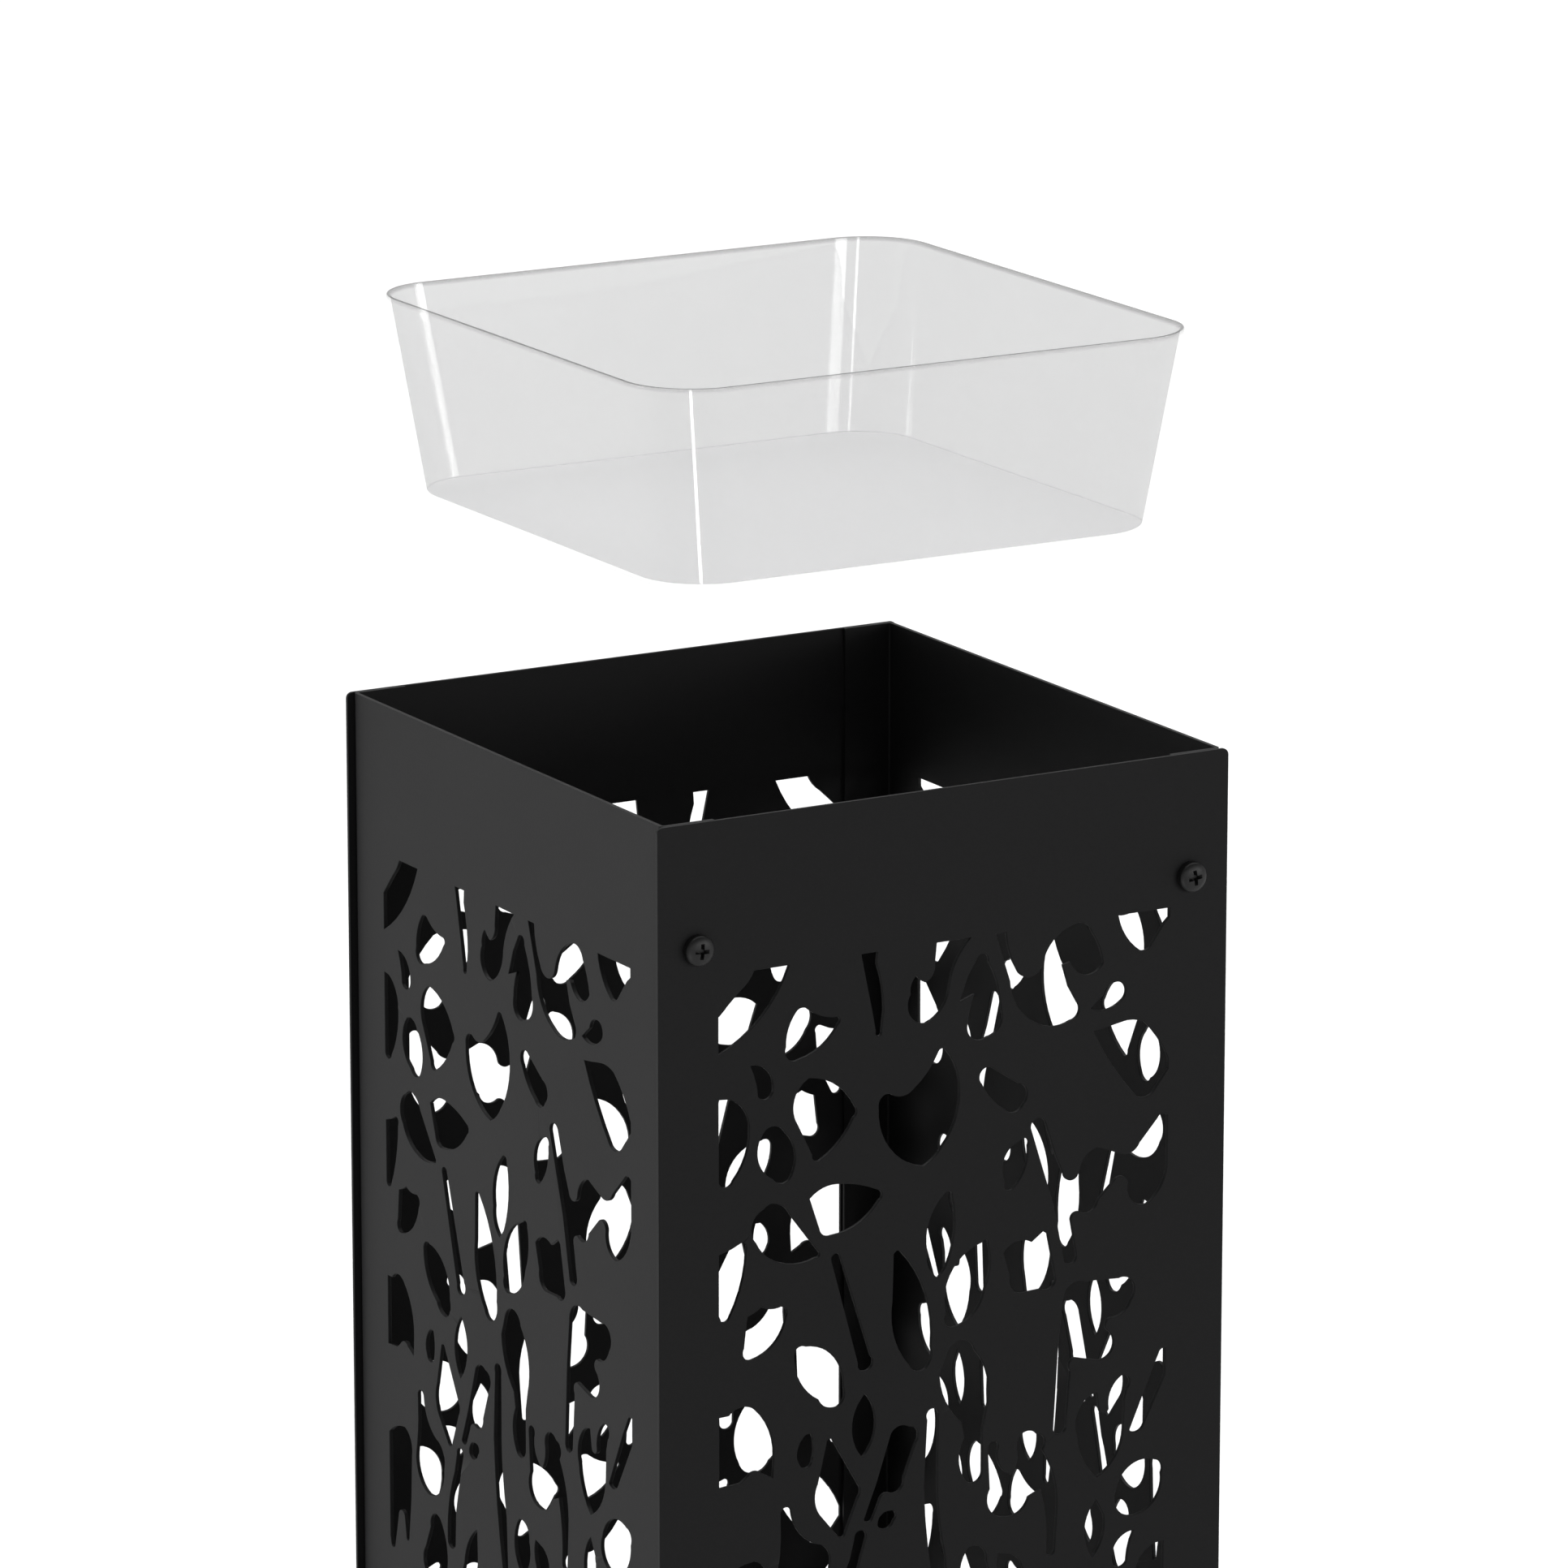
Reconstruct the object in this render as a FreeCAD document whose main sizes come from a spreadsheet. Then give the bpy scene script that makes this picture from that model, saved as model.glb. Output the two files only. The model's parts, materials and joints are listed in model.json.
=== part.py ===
"""Slim square street bin of laser-cut sheet steel, with a clear lift-out tray.

Four sheet-steel walls stand round a shallow base pan on four rubber feet.  The front and back walls
are flat plates; the side walls are folded channels whose flanges lie behind them.  The back plate is
spot welded to the flanges, so it has no fasteners; the front plate is held by four pan head screws
that run through the layers into clinch nuts.  A clear tray slides down inside on to the base pan.
The document is drawn with the tray lifted above the mouth.
Frame: +Z up, the front faces -Y, the origin is on the ground under the middle.  Millimetres.
"""
import FreeCAD, Part
import math
import os
import Sketcher
from FreeCAD import Placement, Rotation, Vector

os.makedirs("parts", exist_ok=True)
document = FreeCAD.newDocument("SquareBin")

# ---------------------------------------------------------------- driving dimensions
SIZES = [
    ("bin_width", 155.0, "outside of the bin, side to side and front to back"),
    ("bin_top", 490.0, "mouth above the ground"),
    ("wall_lift", 3.0, "lower edge of the walls above the ground"),
    ("sheet", 1.0, "thickness of every steel sheet"),
    ("wall_inset", 1.5, "side walls set in from the edges of the front and back plates"),
    ("plate_corner", 1.6, "corner radius of the front and back plates"),
    ("flange_width", 14.0, "flange of a side wall, measured from its outer face"),
    ("fold_radius", 1.5, "outer radius of a fold"),
    ("pattern_width", 123.0, "cut pattern, side to side"),
    ("pattern_border", 37.0, "plain band above and below the cut pattern"),
    ("art_offset", -1.2, "side walls: the cut shapes are moved this far inside the same border"),
    ("screw_inset", 10.4, "screw axes from the edges of the front and back plates"),
    ("upper_screw_drop", 30.0, "upper screws below the mouth"),
    ("lower_screw_height", 20.0, "lower screws above the ground"),
    ("clearance_hole", 4.5, "diameter of the screw holes in the plates"),
    ("head_diameter", 7.4, "pan head"),
    ("head_height", 2.5, "pan head, top of the dome above the plate"),
    ("head_rim", 1.2, "pan head, height of its upright edge"),
    ("shank_diameter", 3.8, "M4 thread, drawn as a plain shank"),
    ("upper_shank_length", 5.0, "upper screws, under the head"),
    ("lower_shank_length", 6.0, "lower screws, under the head"),
    ("recess_width", 3.6, "cross recess, tip to tip"),
    ("recess_slot", 0.95, "cross recess, width of one slot"),
    ("recess_depth", 1.3, "cross recess, depth"),
    ("recess_start", 0.2, "cross recess, start of the cut above the dome"),
    ("nut_diameter", 7.9, "clinch nut body"),
    ("nut_body", 2.0, "clinch nut, height that stands proud"),
    ("nut_spigot", 5.4, "clinch nut, diameter pressed into the sheet"),
    ("nut_bore", 4.0, "clinch nut bore"),
    ("foot_height", 6.0, "rubber foot"),
    ("foot_top", 18.0, "rubber foot, diameter at the base pan"),
    ("foot_round", 1.5, "rubber foot, rounded lower edge"),
    ("foot_spacing", 118.0, "between foot centres"),
    ("pan_height", 24.0, "base pan, over its upturned edges"),
    ("pan_gap", 0.1, "base pan to each side wall"),
    ("pan_relief", 3.0, "base pan, square relief at each corner fold"),
    ("tray_rim", 147.8, "tray, width over the rim"),
    ("tray_foot", 135.0, "tray, width over the bottom"),
    ("tray_height", 48.5, "tray, overall"),
    ("tray_corner", 17.0, "tray, plan radius of its corners"),
    ("tray_wall", 1.0, "tray, wall thickness"),
    ("tray_floor", 1.4, "tray, floor thickness"),
    ("tray_hover", 51.5, "tray bottom above the mouth, as drawn"),
]
sheet = document.addObject("Spreadsheet::Sheet", "Sizes")
for row, (alias, value, meaning) in enumerate(SIZES, start=1):
    sheet.set(f"A{row}", meaning)
    sheet.set(f"B{row}", str(value))
    sheet.setAlias(f"B{row}", alias)
document.recompute()


def size(alias):
    """A driving dimension as a number."""
    return float(getattr(sheet, alias))


# ---------------------------------------------------------------- small helpers
def origin_plane(body, role):
    return next(item for item in body.Origin.OriginFeatures if item.Role == role)


def new_body(name):
    body = document.addObject("PartDesign::Body", name)
    body.Label = name
    return body


def new_sketch(body, name, role="XY_Plane", height=None):
    """A sketch on one of the body's own origin planes, raised by a sheet expression if given."""
    sketch = body.newObject("Sketcher::SketchObject", f"{body.Name}_{name}")
    sketch.AttachmentSupport = (origin_plane(body, role), [""])
    sketch.MapMode = "FlatFace"
    if height:
        sketch.setExpression("AttachmentOffset.Base.z", height)
    return sketch


def number(sketch, expression):
    """The plain number that a sheet expression gives."""
    value = sketch.evalExpression(expression)
    return float(getattr(value, "Value", value))


def bind(sketch, kind, refs, expression):
    """One dimension of a sketch, driven by the sheet."""
    index = sketch.addConstraint(Sketcher.Constraint(kind, *refs, number(sketch, expression)))
    sketch.setExpression(f"Constraints[{index}]", expression)


def draw_rectangle(sketch, width, height, across="0", up="0"):
    """A rectangle with its middle at (across, up); all four arguments are sheet expressions."""
    half_w, half_h = number(sketch, width) / 2, number(sketch, height) / 2
    mid_x, mid_y = number(sketch, across), number(sketch, up)
    corners = [Vector(mid_x + sx * half_w, mid_y + sy * half_h, 0) for sx, sy in
               ((-1, -1), (1, -1), (1, 1), (-1, 1))]
    first = sketch.GeometryCount
    for start, end in zip(corners, corners[1:] + corners[:1]):
        sketch.addGeometry(Part.LineSegment(start, end), False)
    for edge in range(4):
        after = first + (edge + 1) % 4
        sketch.addConstraint(Sketcher.Constraint("Coincident", first + edge, 2, after, 1))
        kind = "Horizontal" if edge % 2 == 0 else "Vertical"
        sketch.addConstraint(Sketcher.Constraint(kind, first + edge))
    bind(sketch, "DistanceX", (first, 1, first, 2), width)
    bind(sketch, "DistanceY", (first + 1, 1, first + 1, 2), height)
    bind(sketch, "DistanceX", (-1, 1, first, 2), f"({across}) + ({width}) / 2")
    bind(sketch, "DistanceY", (-1, 1, first + 1, 2), f"({up}) + ({height}) / 2")


def draw_circle(sketch, diameter, across, up):
    """A circle with its centre at (across, up), up being positive and across not zero."""
    centre = Vector(number(sketch, across), number(sketch, up), 0)
    index = sketch.addGeometry(Part.Circle(centre, Vector(0, 0, 1), number(sketch, diameter) / 2), False)
    bind(sketch, "Diameter", (index,), diameter)
    if centre.x > 0:
        bind(sketch, "DistanceX", (-1, 1, index, 3), across)
    if centre.x < 0:
        bind(sketch, "DistanceX", (index, 3, -1, 1), f"-({across})")
    bind(sketch, "DistanceY", (-1, 1, index, 3), up)


def pad(body, sketch, length, reversed_side=False):
    feature = body.newObject("PartDesign::Pad", f"{sketch.Name}_pad")
    feature.Profile = sketch
    feature.setExpression("Length", length)
    feature.Reversed = reversed_side
    sketch.Visibility = False
    return feature


def pocket(body, sketch, length=None, reversed_side=False):
    """A cut of a bound depth, or through everything when no depth is given."""
    feature = body.newObject("PartDesign::Pocket", f"{sketch.Name}_cut")
    feature.Profile = sketch
    if length:
        feature.setExpression("Length", length)
    else:
        feature.Type = 1
    feature.Reversed = reversed_side
    return feature


def expect_less(body, feature, what):
    """A cut that points the wrong way removes nothing, so its volume is compared."""
    document.recompute()
    before = feature.BaseFeature.Shape.Volume
    assert feature.Shape.Volume < before - 1e-3, f"{body.Label}: {what} removed nothing"


def edges_along(shape, direction, test):
    """Names of the straight edges along a direction whose middle passes the test."""
    names = []
    for index, edge in enumerate(shape.Edges, start=1):
        if edge.Curve.TypeId != "Part::GeomLine":
            continue
        if abs(edge.Curve.Direction.dot(direction)) < 0.999:
            continue
        if test(edge.CenterOfMass):
            names.append(f"Edge{index}")
    return names


# ---------------------------------------------------------------- the cut pattern
# Each opening is its corners in order, (across, down) in millimetres from the pattern's top left corner.
# A corner with four numbers is followed by an arc through the second pair, one with two by a straight edge.
TOP_OPENINGS = {
    "top_strip": [(9.5, 0), (18.9, 0, 12.0, 10.8), (0, 19.0), (0, 9.9, 2.8, 7.2), (6.0, 4.2, 8.2, 2.2)],
    "teardrop": [(18.0, 19.6, 18.8, 14.8), (20.9, 11.3, 22.3, 10.7), (24.0, 11.4, 27.5, 13.4),
                 (31.8, 14.2, 32.5, 14.9), (32.0, 15.9, 27.6, 20.6), (21.5, 23.0, 18.6, 22.6)],
    "top_spike": [(38.2, 0), (42.6, 0), (42.4, 3.0, 43.9, 9.0), (44.3, 14.5), (43.7, 19.2, 43.1, 20.4),
                  (42.2, 19.2), (41.2, 14.0)],
    "top_hook": [(58.7, 0), (67.9, 0, 63.9, 5.2), (62.2, 10.4, 59.9, 16.3), (55.8, 19.1, 52.0, 17.4),
                 (51.6, 11.5, 52.0, 8.6), (53.1, 7.2, 54.3, 8.4), (55.6, 9.2, 57.6, 7.6), (58.2, 4.8)],
    "bean_small": [(8.4, 22.7, 12.6, 24.2), (14.6, 28.9, 13.4, 31.2), (10.4, 30.3, 9.8, 26.3)],
    "half_leaf": [(0, 29.8), (2.6, 30.0, 6.6, 32.9), (8.2, 37.6, 7.3, 44.0), (3.8, 49.9, 2.0, 51.2), (0, 49.6)],
    "shield": [(24.2, 27.9, 31.5, 30.6), (36.6, 36.6, 37.1, 37.8), (36.2, 39.2, 31.8, 45.0),
               (27.0, 48.3, 25.7, 48.2), (25.0, 46.6), (21.2, 38.8, 20.2, 32.8)],
    "heart": [(43.0, 37.8, 43.9, 35.3), (46.2, 34.9, 49.3, 35.9), (52.4, 34.6, 56.6, 30.6),
              (59.2, 26.5, 60.2, 25.8), (61.2, 26.3, 64.2, 31.4), (65.1, 36.8, 63.8, 44.0),
              (60.2, 49.8, 57.6, 52.5), (55.2, 53.8, 47.2, 49.4)],
    "bean_left": [(12.6, 38.7, 15.4, 38.3), (17.8, 40.3, 20.4, 45.0), (19.6, 50.6, 17.2, 52.4),
                  (14.6, 51.0, 10.4, 45.0)],
    "lens": [(24.4, 57.2, 27.4, 55.3), (31.8, 54.7, 38.6, 56.0), (43.2, 57.9, 44.0, 58.9),
             (43.2, 60.3, 38.0, 64.9), (30.2, 67.0, 28.3, 66.7), (27.0, 64.8)],
    "sail": [(15.8, 57.3, 17.6, 58.3), (19.0, 60.2), (26.8, 70.5, 27.0, 71.4), (26.0, 71.7, 20.8, 72.5),
             (16.6, 71.6, 12.8, 69.5), (10.0, 65.8, 8.8, 61.4), (12.0, 57.9, 13.8, 56.9)],
    "left_blade": [(0, 67.2), (3.4, 66.3), (5.9, 65.2, 7.0, 65.4), (7.3, 67.0, 5.8, 76.0),
                   (2.8, 82.8, 1.8, 83.7), (0, 82.4)],
    "chip": [(7.6, 83.4, 9.4, 82.7), (11.4, 81.6, 14.0, 82.5), (16.6, 82.3, 17.9, 82.9),
             (18.0, 85.0, 14.6, 91.2), (9.0, 94.0, 7.2, 93.7), (6.7, 91.0)],
    "oval_left": [(20.2, 94.8, 20.9, 93.3), (23.2, 93.1, 30.4, 96.2), (33.6, 104.6, 33.5, 107.8),
                  (31.8, 109.3, 29.0, 108.9), (26.8, 106.6, 22.0, 101.8)],
    "stick": [(30.2, 73.0, 31.1, 71.6), (32.6, 72.4), (41.0, 98.2, 41.0, 101.0), (39.4, 101.6, 38.3, 101.4),
              (37.5, 99.4)],
    "long_leaf": [(47.2, 74.6, 47.9, 73.5), (49.1, 73.8, 55.1, 83.0), (57.5, 98.6, 57.4, 101.8),
                  (56.2, 103.5, 54.2, 104.1), (51.6, 102.2, 47.8, 95.8), (46.9, 85.6)],
    "anvil": [(0, 106.9), (2.6, 106.8, 6.6, 105.2), (9.6, 106.4, 13.6, 112.2), (14.7, 119.0),
              (14.4, 123.9), (11.6, 122.4, 9.8, 121.5), (7.6, 122.5), (5.6, 123.8), (0, 124.2)],
    "pip": [(21.0, 120.4, 21.4, 117.2), (23.4, 114.7), (24.8, 114.7, 25.5, 118.6), (25.0, 121.8, 23.6, 123.0),
            (21.8, 122.2)],
    "slim_leaf": [(39.4, 107.2, 42.3, 113.8), (38.8, 122.9, 35.9, 114.8)],
    "kite": [(29.0, 117.4, 29.8, 116.8), (30.8, 117.6), (37.7, 129.6, 38.2, 131.0), (37.6, 132.6),
             (34.2, 140.6, 33.4, 141.7), (32.1, 141.2), (27.2, 135.2, 25.9, 131.8), (26.5, 127.8)],
    "club": [(46.6, 118.2, 48.6, 116.8), (51.6, 117.4, 53.8, 118.6), (53.4, 121.6), (50.1, 130.0, 48.6, 132.9),
             (46.2, 132.9, 44.6, 132.9), (43.5, 134.4), (41.6, 138.6, 40.6, 139.2), (39.2, 138.4), (42.6, 130.0)],
    "small_oval": [(43.0, 140.6, 43.6, 138.4), (46.4, 137.4, 47.9, 138.2), (47.4, 139.9, 45.0, 141.7)],
    "centre_reed": [(56.6, 116.4, 57.9, 113.9), (59.6, 116.0), (59.5, 133.0, 60.1, 142.0), (61.8, 151.5),
                    (62.4, 165.8, 61.6, 167.4), (60.0, 166.4, 57.0, 149.0), (55.7, 133.0)],
    "flask": [(16.5, 133.6, 17.6, 131.8), (19.4, 132.9, 22.2, 139.4), (26.0, 142.2, 29.4, 144.4),
              (29.8, 148.6, 27.6, 155.0), (21.6, 157.3, 17.2, 154.6), (15.4, 148.4, 16.2, 144.0), (16.6, 139.6)],
    "left_fork": [(0, 147.0, 4.6, 144.6), (9.4, 143.7, 12.2, 145.8), (12.9, 150.0), (12.4, 161.0),
                  (11.1, 171.8, 10.5, 172.6), (9.8, 171.8), (9.0, 167.2, 7.2, 165.6), (5.2, 167.2),
                  (4.2, 171.0), (2.9, 175.4, 2.0, 176.5), (0.6, 176.0), (0, 174.0)],
    "arrow": [(69.6, 5.4, 71.2, 4.3), (72.8, 6.4, 75.4, 12.4), (76.4, 18.4, 75.6, 23.2),
              (72.6, 24.7, 68.6, 24.6), (67.3, 20.4, 67.8, 17.0), (69.0, 13.8), (64.9, 15.2), (67.2, 9.2)],
    "glove": [(74.8, 0), (77.7, 0, 78.7, 5.4), (80.6, 9.4, 84.4, 11.8), (87.8, 9.0, 91.0, 3.4),
              (95.6, 0.8, 99.4, 0.8), (101.4, 3.2, 103.5, 7.0), (104.6, 11.0, 102.6, 12.9),
              (99.4, 13.4, 97.2, 12.2), (95.3, 9.6), (93.3, 10.1), (95.0, 15.6), (97.4, 19.8, 97.8, 22.4),
              (95.6, 23.9, 90.4, 24.7), (86.2, 23.2, 81.2, 19.0), (78.8, 12.0)],
    "droplet": [(101.0, 21.8, 106.0, 22.6), (109.6, 21.0, 110.8, 18.0), (107.8, 16.3, 105.8, 17.0),
                (104.6, 19.0)],
    "top_wedge": [(108.7, 0), (123, 0), (123, 2.2), (121.6, 3.4), (117.9, 8.4, 116.6, 9.5),
                  (114.9, 9.4, 111.8, 6.6)],
    "bean_middle": [(71.2, 36.0, 71.3, 32.7), (73.8, 32.4), (81.4, 37.4, 83.8, 40.0), (82.6, 42.6, 80.8, 44.2),
                    (77.6, 43.2, 73.6, 39.8)],
    "fish": [(101.9, 27.4), (106.4, 26.8), (110.0, 26.2, 113.2, 26.2), (116.0, 27.0, 119.8, 31.2),
             (123, 37.0), (123, 39.6), (119.0, 44.6, 116.6, 45.8), (114.2, 45.2, 107.6, 37.0)],
    "seed": [(82.3, 51.2, 83.4, 51.1), (84.0, 53.0, 82.8, 59.4), (79.9, 63.0, 78.7, 63.3), (77.6, 61.0, 77.4, 55.4)],
    "branch": [(84.8, 48.8, 86.2, 46.7), (88.8, 47.9), (91.8, 56.8), (94.0, 61.6, 95.6, 63.3),
               (98.2, 61.6, 100.4, 57.6), (103.6, 56.2, 107.4, 57.8), (110.4, 59.0, 112.6, 59.0),
               (115.2, 56.8), (120.2, 51.4, 121.8, 50.5), (123, 51.2), (123, 62.0, 121.0, 69.0),
               (117.4, 72.3, 114.4, 71.8), (112.0, 66.4, 110.6, 64.5), (108.2, 65.1), (103.6, 69.3, 101.2, 72.0),
               (98.4, 71.4, 97.0, 71.6), (96.1, 73.2), (97.8, 82.2, 96.5, 84.0), (94.3, 83.2), (91.4, 69.2)],
    "petal": [(71.4, 75.0, 72.4, 74.4), (73.2, 75.6, 73.8, 81.0), (72.2, 86.6, 69.2, 92.2),
              (63.4, 94.7, 62.0, 94.2), (61.5, 91.0, 62.9, 81.2)],
    "narrow_leaf": [(61.0, 61.4, 62.2, 60.9), (63.2, 62.2, 63.9, 70.6), (61.4, 79.6), (59.4, 81.8, 57.4, 80.0),
                    (56.4, 74.8, 57.2, 66.6)],
    "hide": [(77.4, 78.4, 80.8, 76.2), (85.2, 77.0), (88.4, 74.8), (89.6, 75.6), (92.0, 87.0, 91.4, 88.6),
             (88.0, 89.0), (82.4, 89.2, 80.4, 88.4), (79.2, 84.6)],
    "flag": [(94.0, 93.4, 95.8, 89.4), (100.4, 89.0), (109.6, 89.7, 113.4, 90.8), (113.2, 95.6, 111.6, 98.0),
             (107.4, 99.2, 106.2, 100.2), (106.8, 102.4, 107.9, 107.4), (103.4, 109.1, 99.8, 108.2),
             (97.6, 107.6, 96.2, 108.4), (96.3, 110.8), (95.2, 124.6, 93.4, 126.1), (91.6, 124.6), (92.8, 104.0)],
    "foot": [(61.8, 100.9, 65.2, 98.2), (69.6, 101.4, 73.4, 109.0), (72.8, 117.0), (71.8, 121.6),
             (71.8, 131.6, 70.0, 134.2), (67.0, 133.0, 65.4, 128.6), (66.8, 122.6), (66.0, 118.6, 61.4, 112.2),
             (59.9, 106.0)],
    "pliers": [(73.4, 126.2, 74.7, 124.8), (76.3, 126.6, 78.2, 133.0), (80.0, 134.0, 81.3, 131.6),
               (81.4, 127.2, 83.4, 124.0), (87.0, 125.0, 89.4, 127.4), (88.6, 129.2, 92.0, 136.6),
               (92.8, 146.0), (92.2, 155.0, 91.0, 156.1), (89.8, 155.0, 89.6, 145.6), (88.2, 139.0),
               (84.8, 140.4, 81.6, 144.0), (78.0, 144.2, 74.8, 142.8), (74.0, 136.6)],
    "tooth": [(99.6, 119.6, 101.6, 117.9), (103.8, 117.4), (104.5, 121.8, 105.8, 122.9),
              (107.2, 121.8, 108.4, 116.2), (110.6, 114.2, 112.4, 114.6), (112.4, 117.6), (111.6, 120.6),
              (111.3, 127.6, 109.2, 134.2), (103.9, 138.6, 100.4, 134.2), (98.3, 127.4, 98.0, 122.8)],
    "right_bar": [(121.2, 110.2, 122.0, 109.2), (123, 109.2), (123, 115.8), (117.2, 127.2, 115.8, 128.8),
                  (113.0, 128.2), (119.2, 114.2)],
}
MIDDLE_OPENINGS = {
    "stem": [(36.6, 142.8, 38.4, 140.9), (39.9, 142.8, 37.6, 150.4), (35.8, 157.6), (35.4, 166.4, 33.4, 167.8),
             (31.5, 166.4, 32.6, 155.0), (35.4, 147.6)],
    "acorn": [(22.6, 165.4, 24.6, 161.6), (27.6, 162.2, 31.0, 169.0), (29.8, 177.4, 26.2, 180.8),
              (20.8, 178.2, 18.6, 175.0), (19.8, 171.4)],
    "drip": [(46.6, 159.2), (46.8, 164.8, 45.4, 172.0), (40.8, 177.0, 39.4, 174.4), (40.0, 169.6, 42.0, 163.8)],
    "right_pebble": [(109.6, 142.4, 113.8, 137.0), (120.4, 136.9, 122.2, 138.2), (122.2, 140.6, 119.0, 148.4),
                     (113.0, 149.8, 109.6, 147.2)],
    "right_dart": [(103.8, 144.2), (106.0, 148.4, 105.8, 153.8), (102.8, 158.6, 100.6, 152.4)],
    "seed_low": [(76.4, 153.0), (80.2, 154.0, 83.4, 158.8), (81.4, 163.6, 77.0, 160.0)],
    "drop_low": [(68.2, 150.2, 71.4, 150.6), (73.2, 154.6, 73.0, 160.4), (69.4, 163.8, 66.0, 158.4)],
}
# Openings of the top band that the middle band repeats, mirrored and moved (aside, down).
MIDDLE_COPIES = {
    "fish": (0, 157), "branch": (0, 157), "heart": (0, 158), "shield": (-4, 138), "teardrop": (-26, 157),
    "bean_small": (0, 131), "half_leaf": (0, 128), "bean_left": (-1, 130), "lens": (6, 159), "sail": (-2, 134),
    "left_blade": (0, 124), "chip": (1, 129), "oval_left": (-3, 138), "stick": (-7, 136), "long_leaf": (-3, 141),
    "arrow": (-3, 167), "bean_middle": (3, 161), "seed": (-6, 130), "narrow_leaf": (-6, 158),
    "petal": (-10, 138), "hide": (3, 161), "droplet": (-6, 228), "slim_leaf": (-57, 75),
}

PATTERN_WIDTH = size("pattern_width")
SHIFT_EASE = 8.0    # within this distance of the border the side walls' shapes move less and less
PATTERN_HEIGHT = size("bin_top") - size("wall_lift") - 2 * size("pattern_border")


def as_drawn(across, down):
    return across, down


def turned_half_round(across, down):
    return PATTERN_WIDTH - across, PATTERN_HEIGHT - down


def mirrored_and_moved(side, lower):
    """Left and right swapped, then moved aside and down."""
    def move(across, down):
        return PATTERN_WIDTH - across + side, down + lower
    return move


def pattern_bands():
    """The three bands of the pattern: name, and a list of (outline, move)."""
    top = [(outline, as_drawn) for outline in TOP_OPENINGS.values()]
    middle = [(outline, as_drawn) for outline in MIDDLE_OPENINGS.values()]
    middle += [(TOP_OPENINGS[name], mirrored_and_moved(*shift)) for name, shift in MIDDLE_COPIES.items()]
    bottom = [(outline, turned_half_round) for outline in TOP_OPENINGS.values()]
    return [("top_band", top), ("middle_band", middle), ("bottom_band", bottom)]


def opening_edges(outline, move, art_offset):
    """Lines and arcs of one opening, in wall coordinates: across from the middle, up from the ground."""
    def place(across, down):
        across, down = move(across, down)
        inside = min(across, PATTERN_WIDTH - across)
        across += art_offset * min(max(inside / SHIFT_EASE, 0), 1)
        return Vector(across - PATTERN_WIDTH / 2, size("bin_top") - size("pattern_border") - down, 0)
    edges = []
    for corner, following in zip(outline, outline[1:] + outline[:1]):
        start, end = place(*corner[:2]), place(*following[:2])
        if len(corner) == 4:
            edges.append(Part.Arc(start, place(*corner[2:]), end))
        else:
            edges.append(Part.LineSegment(start, end))
    return edges


def cut_pattern(body, art_offset):
    """Three pockets through the wall that lies on the body's XZ plane."""
    for band, openings in pattern_bands():
        sketch = new_sketch(body, band, "XZ_Plane")
        edges = []
        for outline, move in openings:
            edges += opening_edges(outline, move, art_offset)
        sketch.addGeometry(edges, False)
        feature = pocket(body, sketch)
        expect_less(body, feature, band)


# ---------------------------------------------------------------- walls
SCREW_ACROSS = "Sizes.bin_width / 2 - Sizes.screw_inset"
UPPER_SCREW = "Sizes.bin_top - Sizes.upper_screw_drop"
LOWER_SCREW = "Sizes.lower_screw_height"
WALL_HEIGHT = "Sizes.bin_top - Sizes.wall_lift"
WALL_MIDDLE = "(Sizes.bin_top + Sizes.wall_lift) / 2"


def stand_in_place(body, angle, x="0", y="0", z="0"):
    """Turn a body about Z and bind its position to the sheet."""
    body.Placement = Placement(Vector(0, 0, 0), Rotation(Vector(0, 0, 1), angle))
    for letter, expression in (("x", x), ("y", y), ("z", z)):
        body.setExpression(f"Placement.Base.{letter}", f"({expression}) * 1mm")


def make_plate(name, angle, depth, screwed):
    """Front or back wall: a flat plate with rounded corners and the cut pattern; screw holes if screwed."""
    body = new_body(name)
    outline = new_sketch(body, "outline", "XZ_Plane")
    draw_rectangle(outline, "Sizes.bin_width", WALL_HEIGHT, "0", WALL_MIDDLE)
    plate = pad(body, outline, "Sizes.sheet", reversed_side=True)
    document.recompute()
    corners = body.newObject("PartDesign::Fillet", f"{name}_corners")
    corners.Base = (plate, edges_along(plate.Shape, Vector(0, 1, 0), lambda point: True))
    corners.setExpression("Radius", "Sizes.plate_corner")
    if screwed:
        holes = new_sketch(body, "screw_holes", "XZ_Plane")
        for across in (SCREW_ACROSS, f"-({SCREW_ACROSS})"):
            for up in (UPPER_SCREW, LOWER_SCREW):
                draw_circle(holes, "Sizes.clearance_hole", across, up)
        expect_less(body, pocket(body, holes), "screw holes")
    cut_pattern(body, 0)
    stand_in_place(body, angle, y=depth)


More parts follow.
